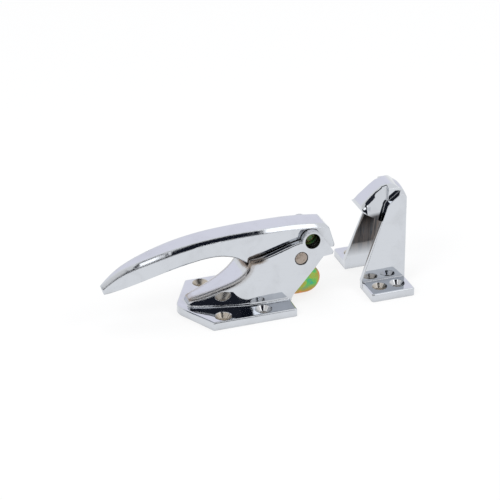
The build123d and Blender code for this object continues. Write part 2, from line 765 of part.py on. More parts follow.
with BuildPart() as strike_feet:
    with BuildSketch():
        with Locations((strike_x, 0)):
            RectangleRounded(2 * strike_half_length, 2 * strike_foot_reach, flange_corner_radius)
    extrude(amount=flange_thickness)
    fillet(strike_feet.faces().sort_by(Axis.Z)[-1].edges(), foot_rim_radius)
    with BuildSketch():
        with Locations((strike_x, 0)):
            Rectangle(2 * strike_half_length + 2, 2 * inner_foot)
    extrude(amount=flange_thickness + 1, mode=Mode.SUBTRACT)

with BuildPart() as strike_mass:
    add(strike_body.part)
    add(strike_hump.part)
    add(strike_nose.part)
    add(strike_feet.part)
    with BuildSketch(Plane.XZ.offset(-pocket_half)):
        with BuildLine():
            Polyline(
                (nose_back, arch_top - 16), (nose_back, arch_top + 4), (strike_right - 6, strike_crown - 6),
                (strike_right + 3, strike_crown - 6), (strike_right + 3, arch_top - 16), close=True
            )
        make_face()
    extrude(amount=2 * pocket_half, mode=Mode.SUBTRACT)
    with Locations((strike_x, 0, flange_thickness)):
        with GridLocations(strike_screw_pitch_x, strike_screw_pitch_y, 2, 2):
            CounterSinkHole(screw_hole_radius, strike_countersink_radius, flange_thickness, countersink_angle)
strike = Pos(0, strike_y, 0) * strike_mass.part
strike.label = "strike"
export_step(strike, "parts/strike.step")
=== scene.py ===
from math import ceil, cos, radians, sin

import bmesh
import bpy
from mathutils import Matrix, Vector


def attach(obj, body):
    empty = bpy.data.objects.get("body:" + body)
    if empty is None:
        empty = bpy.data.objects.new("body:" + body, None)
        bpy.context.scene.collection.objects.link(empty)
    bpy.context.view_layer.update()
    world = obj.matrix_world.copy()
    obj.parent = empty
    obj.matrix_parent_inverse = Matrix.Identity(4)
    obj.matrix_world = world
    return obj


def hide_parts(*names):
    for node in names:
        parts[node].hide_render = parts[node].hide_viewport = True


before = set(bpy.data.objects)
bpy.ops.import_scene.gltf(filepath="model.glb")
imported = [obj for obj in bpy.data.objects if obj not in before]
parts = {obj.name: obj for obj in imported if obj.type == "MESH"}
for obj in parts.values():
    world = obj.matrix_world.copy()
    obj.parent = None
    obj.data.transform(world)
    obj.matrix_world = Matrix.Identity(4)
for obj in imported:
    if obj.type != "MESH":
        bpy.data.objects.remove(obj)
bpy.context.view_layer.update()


# Camera: stands in front of the latch, to its left and above it, at the photograph's angle.
# A long lens, as the legs of the strike and the flange's edges hardly converge.
def direction(azimuth, elevation):
    """Unit vector from angles in degrees; azimuth 0 is towards -Y and grows towards +X."""
    azimuth, elevation = radians(azimuth), radians(elevation)
    return Vector((sin(azimuth) * cos(elevation), -cos(azimuth) * cos(elevation), sin(elevation)))


def new_object(name, data):
    """Object with its data, in the scene."""
    made = bpy.data.objects.new(name, data)
    bpy.context.scene.collection.objects.link(made)
    return made


camera_place = (-0.4698, -1.3734, 0.8240)
camera_azimuth = -19.49
camera_elevation = 28.07
toward_camera = direction(camera_azimuth, camera_elevation)
camera_data = bpy.data.cameras.new("latch_camera")
camera_data.lens = 144.0
camera_data.sensor_width = 36.0
camera_data.clip_start = 0.05
camera_data.clip_end = 40.0
camera = new_object("latch_camera", camera_data)
camera.location = camera_place
camera.rotation_euler = toward_camera.to_track_quat("Z", "Y").to_euler()
bpy.context.scene.camera = camera
bpy.context.scene.view_settings.view_transform = "Standard"


# Latch housing: a die casting of zinc alloy, ground, buffed and chrome plated all over.
# The plate follows the slight ripple that buffing leaves, and some countersinks carry a warm
# painted reflection in their colour. Four screws hold it on the door.
def add_node(tree, kind, values=None, **settings):
    """A new node in a tree, with its settings, and its sockets linked or set to values."""
    node = tree.nodes.new(kind)
    for name, value in settings.items():
        setattr(node, name, value)
    for socket, value in (values or {}).items():
        if isinstance(value, bpy.types.NodeSocket):
            tree.links.new(value, node.inputs[socket])
        else:
            node.inputs[socket].default_value = value
    return node


def maths(tree, operation, *operands, clamp=False):
    """Result of a Math node on sockets or numbers."""
    return add_node(
        tree, "ShaderNodeMath", dict(enumerate(operands)), operation=operation, use_clamp=clamp
    ).outputs[0]


def product(tree, first, *others):
    """Masks or numbers multiplied together."""
    for other in others:
        first = maths(tree, "MULTIPLY", first, other)
    return first


def remap(tree, value, span, result=(0.0, 1.0), smooth=False):
    """Value moved from one span to another and kept within it."""
    return add_node(
        tree, "ShaderNodeMapRange", {0: value, 1: span[0], 2: span[1], 3: result[0], 4: result[1]},
        interpolation_type="SMOOTHSTEP" if smooth else "LINEAR",
    ).outputs[0]


def object_place(tree, stretch=None, turn=(0.0, 0.0, 0.0)):
    """Place on the piece in metres, stretched and turned where marks run one way."""
    place = add_node(tree, "ShaderNodeTexCoord").outputs["Object"]
    if stretch:
        mapped = {"Vector": place, "Rotation": turn, "Scale": stretch}
        place = add_node(tree, "ShaderNodeMapping", mapped).outputs[0]
    return place


def object_axes(tree):
    """X, Y and Z of the place on the piece, in metres."""
    return add_node(tree, "ShaderNodeSeparateXYZ", {0: object_place(tree)}).outputs


def distance(tree, first, second):
    """Length of a step with these two sides."""
    squares = [maths(tree, "POWER", side, 2.0) for side in (first, second)]
    return maths(tree, "SQRT", maths(tree, "ADD", *squares))


def from_axis(tree, centre):
    """Distance from an axis along Y through a centre in X and Z."""
    axes = object_axes(tree)
    across = maths(tree, "SUBTRACT", axes["X"], centre[0])
    up = maths(tree, "SUBTRACT", axes["Z"], centre[1])
    return distance(tree, across, up)


def noise(tree, place, scale, detail, roughness=0.5, distortion=0.0):
    """Cloudy noise from 0 to 1 that is mostly near 0.5."""
    return add_node(tree, "ShaderNodeTexNoise", {
        "Vector": place, "Scale": scale, "Detail": detail,
        "Roughness": roughness, "Distortion": distortion,
    }).outputs[0]


def tinted(tree, colour, tone, mask, amount=1.0):
    """Colour moved towards a tone by an amount where a mask is."""
    strength = maths(tree, "MULTIPLY", mask, amount)
    blend = {0: strength, 6: colour, 7: tone}
    return add_node(tree, "ShaderNodeMix", blend, data_type="RGBA").outputs[2]


def roughened(tree, rough, mask, amount):
    """Roughness raised by an amount where a mask is."""
    return maths(tree, "ADD", rough, product(tree, mask, amount), clamp=True)


def bumped(tree, height, depth, strength=1.0, normal=None):
    """Normal with a height from 0 to 1 on it, which stands for a depth in metres."""
    values = {"Height": height, "Distance": depth, "Strength": strength}
    if normal is not None:
        values["Normal"] = normal
    return add_node(tree, "ShaderNodeBump", values).outputs[0]


def new_group(name, inputs, outputs):
    """Empty shader node group, and the sockets to read from and to write to inside it."""
    group = bpy.data.node_groups.new(name, "ShaderNodeTree")
    for socket, kind, value in inputs:
        made = group.interface.new_socket(name=socket, in_out="INPUT", socket_type=kind)
        made.default_value = value
    for socket, kind in outputs:
        group.interface.new_socket(name=socket, in_out="OUTPUT", socket_type=kind)
    sources = group.nodes.new("NodeGroupInput").outputs
    return group, sources, group.nodes.new("NodeGroupOutput").inputs


def place_group(tree, group, values=None):
    """Output sockets of a group placed in a material."""
    return add_node(tree, "ShaderNodeGroup", values, node_tree=group).outputs


def new_material(name, metallic, **constants):
    """Material with a Principled shader whose constant values are set on its own sockets."""
    material = bpy.data.materials.new(name)
    material.use_nodes = True
    shader = material.node_tree.nodes["Principled BSDF"]
    shader.inputs["Metallic"].default_value = metallic
    for socket, value in constants.items():
        shader.inputs[socket.replace("_", " ")].default_value = value
    return material, material.node_tree


def link_shader(tree, colour, rough, normal):
    """Links a material's colour, roughness and normal to its Principled shader."""
    shader = tree.nodes["Principled BSDF"]
    for socket, value in (("Base Color", colour), ("Roughness", rough), ("Normal", normal)):
        tree.links.new(value, shader.inputs[socket])


def put_on(part, material):
    """Gives a piece its material in place of any other."""
    part.data.materials.clear()
    part.data.materials.append(material)


VALUE = "NodeSocketFloat"
VECTOR = "NodeSocketVector"

# Buffed surface: long soft ripples, and the fine cross-hatch of the buffing wheel on top of them
buffed, buffed_in, buffed_out = new_group(
    "buffed surface",
    [("Ripple Size", VALUE, 90.0), ("Ripple", VALUE, 1.0), ("Grain", VALUE, 0.2)],
    [("Height", VALUE)],
)
wheel_scale = 2600.0
wheel_stretch = (0.25, 1.0, 1.0)
ripple = noise(
    buffed, object_place(buffed), buffed_in["Ripple Size"], detail=2.0, roughness=0.45
)
grain = noise(
    buffed, object_place(buffed, wheel_stretch), wheel_scale, detail=3.0, roughness=0.6
)
ripple = product(buffed, ripple, buffed_in["Ripple"])
grain = product(buffed, grain, buffed_in["Grain"])
buffed.links.new(maths(buffed, "ADD", ripple, grain), buffed_out["Height"])

# Handling marks: finger smears, wiping streaks and hairline scratches that dull a polished face
handled, handled_in, handled_out = new_group(
    "handling marks",
    [
        ("Clean", VALUE, 0.03), ("Smeared", VALUE, 0.12),
        ("Smear Size", VALUE, 55.0), ("Scratches", VALUE, 0.5),
    ],
    [("Roughness", VALUE), ("Marks", VALUE)],
)
smear_cut = (0.47, 0.72)
scratch_cut = (0.66, 0.72)
scratch_scale = 900.0
smear = noise(
    handled, object_place(handled), handled_in["Smear Size"],
    detail=5.0, roughness=0.62, distortion=0.6,
)
smear = remap(handled, smear, smear_cut)
hairlines = object_place(handled, stretch=(0.04, 1.0, 1.0), turn=(0.3, 0.5, 0.4))
scratch = noise(handled, hairlines, scratch_scale, detail=2.0)
scratch = product(handled, remap(handled, scratch, scratch_cut), handled_in["Scratches"])
marks = maths(handled, "MAXIMUM", smear, scratch)
spread = maths(handled, "SUBTRACT", handled_in["Smeared"], handled_in["Clean"])
rough = maths(handled, "ADD", handled_in["Clean"], product(handled, marks, spread))
handled.links.new(rough, handled_out["Roughness"])
handled.links.new(marks, handled_out["Marks"])

# Rubbed edges: a mask of the corners and rims that cloths and hands rub most
rubbed, rubbed_in, rubbed_out = new_group(
    "rubbed edges", [("Width", VALUE, 0.0012), ("Break Up", VALUE, 220.0)], [("Edge", VALUE)]
)
flat_to_edge = (0.995, 0.86)
rub_cut, rub_range = (0.35, 0.6), (0.25, 1.0)
softened = add_node(rubbed, "ShaderNodeBevel", {"Radius": rubbed_in["Width"]}, samples=4)
true_normal = add_node(rubbed, "ShaderNodeNewGeometry").outputs["Normal"]
facing = add_node(
    rubbed, "ShaderNodeVectorMath", {0: softened.outputs[0], 1: true_normal},
    operation="DOT_PRODUCT",
).outputs["Value"]
uneven = noise(rubbed, object_place(rubbed), rubbed_in["Break Up"], detail=4.0)
uneven = remap(rubbed, uneven, rub_cut, rub_range)
rubbed.links.new(
    product(rubbed, remap(rubbed, facing, flat_to_edge), uneven), rubbed_out["Edge"]
)

# Corner grime and shade: a mask of the inner corners and hollows, found by ambient occlusion,
# where dust and old grease stay and where painted shade darkens the colour
grime_and_shade_group, grime_and_shade_in, grime_and_shade_out = new_group(
    "corner grime and shade", [("Reach", VALUE, 0.006), ("Grain Size", VALUE, 400.0)], [("Grime And Shade", VALUE)]
)
corner_to_open = (0.25, 0.85)
speck_cut, speck_range = (0.35, 0.65), (0.35, 1.0)
shut_in = add_node(
    grime_and_shade_group, "ShaderNodeAmbientOcclusion", {"Distance": grime_and_shade_in["Reach"]}, samples=4
).outputs["AO"]
specks = noise(grime_and_shade_group, object_place(grime_and_shade_group), grime_and_shade_in["Grain Size"], detail=6.0, roughness=0.7)
specks = remap(grime_and_shade_group, specks, speck_cut, speck_range)
grime_and_shade_group.links.new(
    product(grime_and_shade_group, remap(grime_and_shade_group, shut_in, corner_to_open, (1.0, 0.0)), specks), grime_and_shade_out["Grime And Shade"]
)

# Hollow shade: a mask of the cores and bores, found by ambient occlusion, that carries painted
# shade
hollow, hollow_in, hollow_out = new_group(
    "painted hollow shade",
    [("Reach", VALUE, 0.035), ("Open", VALUE, 0.34), ("Shut", VALUE, 0.16)],
    [("Hollow", VALUE)],
)
enclosed = add_node(
    hollow, "ShaderNodeAmbientOcclusion", {"Distance": hollow_in["Reach"]}, samples=8
).outputs["AO"]
hollow.links.new(
    remap(hollow, enclosed, (hollow_in["Open"], hollow_in["Shut"]), smooth=True),
    hollow_out["Hollow"],
)

# Ground edges: the normal of a casting whose edges are rounded off by grinding before plating
ground_edges, ground_in, ground_out = new_group(
    "softened edges", [("Radius", VALUE, 0.0008)], [("Normal", VECTOR)]
)
rounded = add_node(ground_edges, "ShaderNodeBevel", {"Radius": ground_in["Radius"]}, samples=8)
ground_edges.links.new(rounded.outputs[0], ground_out["Normal"])

# Plumb walls: stands a casting's lower front walls upright in reflections, so that they mirror
# the flange nearly at its full size; the mask keeps to steep faces below Top and before Front
plumb, plumb_in, plumb_out = new_group(
    "plumb walls",
    [("Normal", VECTOR, (0.0, 0.0, 1.0)), ("Top", VALUE, 0.0195), ("Front", VALUE, -0.004)],
    [("Normal", VECTOR)],
)
top_fade = (-0.0005, 0.0010)
front_fade = (0.0, 0.012)
steep_to_sloping = (0.36, 0.50)
most_upright = 0.92
axes = object_axes(plumb)
slope = add_node(plumb, "ShaderNodeSeparateXYZ", {0: plumb_in["Normal"]}).outputs
above_top = maths(plumb, "SUBTRACT", axes["Z"], plumb_in["Top"])
behind_front = maths(plumb, "SUBTRACT", axes["X"], plumb_in["Front"])
upright = product(
    plumb,
    remap(plumb, above_top, top_fade, (1.0, 0.0)),
    remap(plumb, behind_front, front_fade, (1.0, 0.0)),
    remap(plumb, maths(plumb, "ABSOLUTE", slope["Z"]), steep_to_sloping, (1.0, 0.0)),
)
kept_slope = maths(plumb, "SUBTRACT", 1.0, product(plumb, upright, most_upright))
kept_slope = product(plumb, slope["Z"], kept_slope)
stood = add_node(
    plumb, "ShaderNodeCombineXYZ", {"X": slope["X"], "Y": slope["Y"], "Z": kept_slope}
).outputs[0]
stood = add_node(plumb, "ShaderNodeVectorMath", {0: stood}, operation="NORMALIZE").outputs[0]
plumb.links.new(stood, plumb_out["Normal"])

chrome_tone = (0.60, 0.625, 0.665, 1.0)
chrome_edge = (0.72, 0.72, 0.74, 1.0)
# Warm tone painted into the countersinks as a reflection
seat_reflection_tone = (0.46, 0.39, 0.30, 1.0)
worn_nickel_tone = (0.23, 0.185, 0.15, 1.0)
# Tone of smears, and of dust and painted shade in inner corners
grime_and_shade_tone = (0.16, 0.15, 0.145, 1.0)
# Near-black painted shade for deep hollows
hollow_shade_tone = (0.035, 0.032, 0.030, 1.0)
# Near-black painted shade for the padlock bores and for the bolt's top inside the housing
inner_shade_tone = (0.022, 0.026, 0.012, 1.0)
padlock_hole = (0.065, 0.0553)
bore_rim = 0.0002
seat_wall = 0.93
seat_divide = (-0.001, 0.001)
# Share of the countersinks' painted reflection on the grip side and on the far side
grip_side_share, far_side_share = 1.0, 0.22


def chrome_tones(tree, smeared, grime_and_shade):
    """Colour and roughness of chrome plate with smears, rubbed edges, dust and painted shade in
    corners, and painted shade in hollows.
    """
    touched = place_group(tree, handled, {"Clean": 0.025, "Smeared": smeared})
    edges = place_group(tree, rubbed, {"Width": 0.0009})
    dust_and_shade = product(tree, place_group(tree, grime_and_shade_group, {"Reach": 0.005})["Grime And Shade"], grime_and_shade)
    hollow_shade = place_group(tree, hollow)["Hollow"]
    colour = tinted(tree, chrome_tone, chrome_edge, edges["Edge"], 0.5)
    colour = tinted(tree, colour, grime_and_shade_tone, touched["Marks"], 0.10)
    # Dust and painted shade darken the inner corners
    colour = tinted(tree, colour, grime_and_shade_tone, dust_and_shade)
    # Painted shade in the deep hollows: a near-black colour, and rougher there
    colour = tinted(tree, colour, hollow_shade_tone, hollow_shade)
    rough = roughened(tree, touched["Roughness"], dust_and_shade, 0.35)
    return colour, roughened(tree, rough, hollow_shade, 0.35)


def chrome_normal(tree, ripple, normal):
    """Normal of buffed plate, which ripples softly over the casting's own."""
    surface = place_group(tree, buffed, {"Ripple Size": 75.0, "Ripple": ripple, "Grain": 0.03})
    return bumped(tree, surface["Height"], depth=0.00006, normal=normal)


def shaded_bore(tree, colour, rough, radius):
    """Colour and roughness inside the padlock hole, darkened near black with painted shade and
    rougher.
    """
    away = from_axis(tree, padlock_hole)
    inside = remap(tree, away, (radius, radius + bore_rim), (1.0, 0.0))
    return tinted(tree, colour, inner_shade_tone, inside, 0.96), roughened(tree, rough, inside, 0.3)


def screw_seats(tree, centre, pitch, radius):
    """Mask of a screw pattern's seats for a warm painted reflection, strongest in those towards
    the grip.
    """
    axes = object_axes(tree)
    offset_x = maths(tree, "SUBTRACT", axes["X"], centre[0])
    offset_y = maths(tree, "SUBTRACT", axes["Y"], centre[1])
    from_x = maths(tree, "SUBTRACT", maths(tree, "ABSOLUTE", offset_x), pitch[0] / 2)
    from_y = maths(tree, "SUBTRACT", maths(tree, "ABSOLUTE", offset_y), pitch[1] / 2)
    away = distance(tree, from_x, from_y)
    seat = remap(tree, away, (radius * seat_wall, radius), (1.0, 0.0))
    return product(tree, seat, remap(tree, offset_x, seat_divide, (grip_side_share, far_side_share)))


latch_centre = (0.0, 0.0)
latch_screw_pitch = (0.0349, 0.0603)
latch_countersink_radius = 0.007
ear_bore_radius = 0.0066

housing_chrome, tree = new_material("housing_chrome_plate", 1.0)
axes = object_axes(tree)
colour, rough = chrome_tones(tree, smeared=0.10, grime_and_shade=0.45)
seats = screw_seats(tree, latch_centre, latch_screw_pitch, latch_countersink_radius)
# Warm painted reflection in the countersinks
colour = tinted(tree, colour, seat_reflection_tone, seats, 0.75)
rough = roughened(tree, rough, seats, 0.22)
# Painted shade inside the padlock hole
colour, rough = shaded_bore(tree, colour, rough, ear_bore_radius)

# The hull's shoulder round the ramp is ground off more than the other edges, down to the nickel
edge_radius = 0.0009
shoulder_radius = 0.0042
shoulder_end = (0.020, 0.027)
shoulder_foot = (0.0100, 0.0125)
face_to_edge = (0.985, 0.92)
shoulder = product(
    tree, remap(tree, axes["X"], shoulder_end, (1.0, 0.0)), remap(tree, axes["Z"], shoulder_foot)
)
outward = add_node(
    tree, "ShaderNodeAmbientOcclusion", {"Distance": shoulder_radius}, samples=8, inside=True
).outputs["AO"]
worn = product(tree, remap(tree, outward, face_to_edge), shoulder)
colour = tinted(tree, colour, worn_nickel_tone, worn, 0.94)
rounding = remap(tree, shoulder, (0.0, 1.0), (edge_radius, shoulder_radius))
casting = place_group(tree, ground_edges, {"Radius": rounding})["Normal"]
casting = place_group(tree, plumb, {"Normal": casting})["Normal"]

# The wheel can't get at the collar round the padlock hole, which is satin up to the ear's face
collar_start = (0.0070, 0.0078)
collar_end = (0.0105, 0.0120)
ear_face = (0.0172, 0.0178)
away = from_axis(tree, padlock_hole)
collar = product(
    tree,
    remap(tree, away, collar_start),
    remap(tree, away, collar_end, (1.0, 0.0)),
    remap(tree, maths(tree, "ABSOLUTE", axes["Y"]), ear_face, (1.0, 0.0)),
)
rough = roughened(tree, rough, collar, 0.45)
link_shader(tree, colour, rough, chrome_normal(tree, ripple=1.0, normal=casting))
put_on(parts["latch_housing"], housing_chrome)


# Handle: a hollow zinc casting, buffed and chrome plated like the housing; it turns on the pivot.
# Its grip is the face that is touched most, so it carries more smears.
handle_bore_radius = 0.0071
bevel_radius = 0.0017
tip_bevel_radius = 0.0034
tip_run = (-0.055, -0.035)

handle_chrome, tree = new_material("handle_chrome_plate", 1.0)
colour, rough = chrome_tones(tree, smeared=0.13, grime_and_shade=0.40)
# Painted shade inside the padlock hole
colour, rough = shaded_bore(tree, colour, rough, handle_bore_radius)
# Towards its tip the bevels run out, and the grinding wheel has rounded their edges more
rounding = remap(tree, object_axes(tree)["X"], tip_run, (tip_bevel_radius, bevel_radius))
casting = place_group(tree, ground_edges, {"Radius": rounding})["Normal"]
link_shader(tree, colour, rough, chrome_normal(tree, ripple=1.2, normal=casting))
put_on(parts["handle"], handle_chrome)


# Strike: a third zinc casting, chrome plated, with two legs that are screwed to the door frame.
# Between the legs the plate is darkened with painted shade and streaky painted reflections.
def ramp(tree, factor, stops):
    """Colour ramp from (place, colour) pairs."""
    node = add_node(tree, "ShaderNodeValToRGB", {0: factor})
    elements = node.color_ramp.elements
    while len(elements) < len(stops):
        elements.new(1.0)
    for element, (place, colour) in zip(elements, stops):
        element.position = place
        element.color = (*colour, 1.0)
    return node.outputs[0]


strike_centre = (0.1302, 0.0055)
strike_screw_pitch = (0.0159, 0.0635)
strike_countersink_radius = 0.0065
strike_edge_radius = 0.0007
leg_inside = (0.0176, 0.0171)
streak_start = (0.012, 0.026)
streak_end = (0.067, 0.064)
upper_half = (0.046, 0.062)
upper_shade = (0.020, 0.026, 0.034, 1.0)
streak_scale = 260.0

strike_chrome, tree = new_material("strike_chrome_plate", 1.0)
axes = object_axes(tree)
colour, rough = chrome_tones(tree, smeared=0.10, grime_and_shade=0.5)
seats = screw_seats(tree, strike_centre, strike_screw_pitch, strike_countersink_radius)
# Warm painted reflection in the countersinks
colour = tinted(tree, colour, seat_reflection_tone, seats, 0.6)
rough = roughened(tree, rough, seats, 0.20)
from_middle = maths(tree, "SUBTRACT", axes["Y"], strike_centre[1])
between = product(
    tree,
    remap(tree, maths(tree, "ABSOLUTE", from_middle), leg_inside),
    remap(tree, axes["Z"], streak_start),
    remap(tree, axes["Z"], streak_end),
)
streaks = object_place(tree, stretch=(1.0, 1.0, 0.12), turn=(0.0, -0.35, 0.0))
streaks = noise(tree, streaks, streak_scale, detail=3.0)
# Painted shade and reflections between the legs, darker and bluer towards the top
between_legs_shade_tone = ramp(tree, streaks, [
    (0.38, (0.022, 0.020, 0.020)),
    (0.50, (0.115, 0.090, 0.075)),
    (0.60, (0.050, 0.054, 0.060)),
    (0.72, (0.185, 0.165, 0.150)),
])
between_legs_shade_tone = tinted(tree, between_legs_shade_tone, upper_shade, remap(tree, axes["Z"], upper_half), 0.6)
colour = tinted(tree, colour, between_legs_shade_tone, between, 0.93)
casting = place_group(tree, ground_edges, {"Radius": strike_edge_radius})["Normal"]
link_shader(tree, colour, rough, chrome_normal(tree, ripple=1.0, normal=casting))
put_on(parts["strike"], strike_chrome)


# Latch bolt: a zinc casting with a yellow-green chromate film over zinc plate, which swings on
# the sleeve. Each thickness of the film has its own colour: it is thin, and so orange, on the
# nose's rim, along the edges and at its lower front; towards the pivot it is darkened with painted
# shade.
thin_film = (0.44, 0.22, 0.06, 1.0)
aslant_film = (0.60, 0.20, 0.07, 1.0)
rim_film = (0.66, 0.22, 0.11, 1.0)
rubbed_film = (0.62, 0.24, 0.10, 1.0)
film_scale = 95.0
lower_front = (0.011, 0.005)
aslant_span = (0.42, 0.80)
pivot_shade_span = (0.035, 0.040)
nose_centre = (0.0625, 0.0159)
nose_radius = 0.0128
rim_span = (nose_radius * 0.84, nose_radius * 0.95)
rim_top = (0.036, 0.032)

chromate, tree = new_material("bolt_chromate_film", 1.0)
up = object_axes(tree)["Z"]
film = noise(
    tree, object_place(tree), film_scale, detail=4.0, roughness=0.55, distortion=1.2
)
film_colour = ramp(tree, film, [
    (0.30, (0.40, 0.27, 0.06)),
    (0.40, (0.30, 0.44, 0.09)),
    (0.50, (0.11, 0.46, 0.13)),
    (0.60, (0.07, 0.36, 0.26)),
    (0.68, (0.22, 0.42, 0.10)),
    (0.78, (0.42, 0.36, 0.08)),
])
film_colour = tinted(tree, film_colour, thin_film, remap(tree, up, lower_front), 0.75)
facing = add_node(tree, "ShaderNodeLayerWeight").outputs["Facing"]
aslant = product(
    tree, remap(tree, facing, aslant_span), remap(tree, film, (0.36, 0.56), (0.35, 1.0))
)
film_colour = tinted(tree, film_colour, aslant_film, aslant)
# Painted shade towards the pivot, where the bolt goes into the housing
film_colour = tinted(tree, film_colour, inner_shade_tone, remap(tree, up, pivot_shade_span), 0.68)
rim = product(
    tree,
    remap(tree, from_axis(tree, nose_centre), rim_span),
    remap(tree, film, (0.40, 0.50), (1.0, 0.25)),
    remap(tree, up, rim_top),
)
film_colour = tinted(tree, film_colour, rim_film, rim, 0.85)
edges = place_group(tree, rubbed, {"Width": 0.0016, "Break Up": 160.0})
film_colour = tinted(tree, film_colour, rubbed_film, edges["Edge"], 0.8)
surface = place_group(tree, buffed, {"Ripple Size": 140.0, "Ripple": 1.0, "Grain": 0.35})
touched = place_group(tree, handled, {"Clean": 0.22, "Smeared": 0.42, "Smear Size": 120.0})
normal = bumped(tree, surface["Height"], depth=0.0001)
link_shader(tree, film_colour, touched["Roughness"], normal)

# Below the padlock hole a shield is added to the bolt, a sheet standing in for the shade seen
# through the hole, so that dark green shows there; its upper edge is a saddle that keeps clear of
# the padlock's shackle
shade_shield_half_width = 0.0035
saddle_radius = 0.0074
saddle_angles = range(0, -141, -20)
shade_shield_edge = [
    (0.0620, 0.0400), (0.0720, 0.0405), (0.0768, 0.0435), (0.0775, 0.0475), (0.0750, 0.0520)
]
for turn in saddle_angles:
    shade_shield_edge.append((
        padlock_hole[0] + saddle_radius * cos(radians(turn)),
        padlock_hole[1] + saddle_radius * sin(radians(turn)),
    ))
shape = bmesh.new()
shape.from_mesh(parts["latch_bolt"].data)
near_side, far_side = [
    [shape.verts.new((x, y, z)) for x, z in shade_shield_edge]
    for y in (-shade_shield_half_width, shade_shield_half_width)
]
shape.faces.new(near_side)
shape.faces.new(list(reversed(far_side)))
for first in range(len(shade_shield_edge)):
    second = (first + 1) % len(shade_shield_edge)
    shape.faces.new((near_side[first], far_side[first], far_side[second], near_side[second]))
bolt_mesh = bpy.data.meshes.new("latch_bolt_and_shade_shield")
shape.to_mesh(bolt_mesh)
shape.free()
bolt_and_shade_shield = new_object("latch_bolt_and_shade_shield", bolt_mesh)
put_on(bolt_and_shade_shield, chromate)
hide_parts("latch_bolt")
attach(bolt_and_shade_shield, "bolt")


# Pivot pin, drive pin, sleeve and washers: turned and stamped steel, zinc plated or plain.
# The pin is riveted in the ears, and its heads show the rings of the riveting tool.
pivot = (0.0548, 0.0415)
ring_frequency = 9000.0
ring_height = 0.25
# Tone of dust and painted shade in the steel parts' inner corners
steel_grime_and_shade_tone = (0.05, 0.042, 0.035, 1.0)


def steel_material(name, tone, dark, clean, smeared, ring_centre=None):
    """Satin steel, with turning rings round an axis along Y where a centre is given."""
    material, tree = new_material(name, 1.0)
    surface = place_group(tree, buffed, {"Ripple Size": 260.0, "Ripple": 0.5, "Grain": 0.8})
    height = surface["Height"]
    if ring_centre:
        rings = maths(tree, "SINE", product(tree, from_axis(tree, ring_centre), ring_frequency))
        height = maths(tree, "ADD", height, product(tree, rings, ring_height))
    touched = place_group(tree, handled, {"Clean": clean, "Smeared": smeared, "Smear Size": 300.0})
    edges = place_group(tree, rubbed, {"Width": 0.0006, "Break Up": 500.0})
    dust_and_shade = place_group(tree, grime_and_shade_group, {"Reach": 0.0025})
    colour = tinted(tree, tone, dark, touched["Marks"])
    colour = tinted(tree, colour, chrome_edge, edges["Edge"], 0.6)
    # Dust and painted shade darken the inner corners
    colour = tinted(tree, colour, steel_grime_and_shade_tone, dust_and_shade["Grime And Shade"], 0.6)
    link_shader(tree, colour, touched["Roughness"], bumped(tree, height, depth=0.00005))
    return material


put_on(parts["pivot_pin"], steel_material(
    "riveted_pin_steel", tone=(0.38, 0.325, 0.285, 1.0), dark=(0.22, 0.175, 0.14, 1.0),
    clean=0.24, smeared=0.42, ring_centre=pivot,
))
put_on(parts["drive_pin"], steel_material(
    "ground_pin_steel", tone=(0.60, 0.60, 0.61, 1.0), dark=(0.42, 0.41, 0.40, 1.0),
    clean=0.12, smeared=0.30,
))
put_on(parts["pivot_sleeve"], steel_material(
    "turned_sleeve_steel", tone=(0.58, 0.58, 0.59, 1.0), dark=(0.40, 0.39, 0.37, 1.0),
    clean=0.18, smeared=0.34, ring_centre=pivot,
))
washer_zinc = steel_material(
    "washer_zinc_plate", tone=(0.66, 0.67, 0.66, 1.0), dark=(0.45, 0.45, 0.42, 1.0),
    clean=0.28, smeared=0.46,
)
put_on(parts["near_washer"], washer_zinc)
put_on(parts["far_washer"], washer_zinc)


# Torsion springs: hard-drawn steel wire, blued dark and lightly oiled, wound round the sleeve.
# A leg of each lies on the drive pin; one swings the bolt out and one brings the handle down.
wire_steel = steel_material(
    "oiled_spring_wire", tone=(0.20, 0.20, 0.21, 1.0), dark=(0.10, 0.095, 0.09, 1.0),
    clean=0.20, smeared=0.38,
)
put_on(parts["handle_spring"], wire_steel)
put_on(parts["bolt_spring"], wire_steel)


# Handle buffer: a strip of black moulded rubber, pressed into a groove in the housing's lip,
# where the handle's rib comes down on it.
rubber_tone = (0.018, 0.018, 0.019, 1.0)
dusty_rubber_tone = (0.045, 0.044, 0.042, 1.0)
scuffed_rubber_tone = (0.09, 0.088, 0.085, 1.0)

rubber, tree = new_material("buffer_rubber_black", 0.0, Specular_IOR_Level=0.35)
surface = place_group(tree, buffed, {"Ripple Size": 700.0, "Ripple": 0.8, "Grain": 0.9})
edges = place_group(tree, rubbed, {"Width": 0.0005, "Break Up": 900.0})
touched = place_group(tree, handled, {"Clean": 0.62, "Smeared": 0.85, "Smear Size": 500.0})
colour = tinted(tree, rubber_tone, dusty_rubber_tone, touched["Marks"])
colour = tinted(tree, colour, scuffed_rubber_tone, edges["Edge"], 0.5)
moulded = bumped(tree, surface["Height"], depth=0.00015, strength=0.8)
link_shader(tree, colour, touched["Roughness"], moulded)
put_on(parts["handle_buffer"], rubber)


# Studio: a white sweep under the latch, soft lamps and a pale room, and round the camera the
# black flags and white windows whose mirror images draw the lines along the chrome's bevels.
WHITE = (1.0, 1.0, 1.0, 1.0)


def card_mesh(name, points, faces, material):
    """Mesh of a stage card with its material."""
    mesh = bpy.data.meshes.new(name)
    mesh.from_pydata(points, [], faces)
    mesh.materials.append(material)
    return mesh


def bare_tree(owner):
    """Empty node tree of a material or a world."""
    owner.use_nodes = True
    owner.node_tree.nodes.clear()
    return owner.node_tree


def mix_shaders(tree, share, first, second):
    """Mix of two shader nodes, with a share of the second."""
    return add_node(
        tree, "ShaderNodeMixShader", {0: share, 1: first.outputs[0], 2: second.outputs[0]}
    )


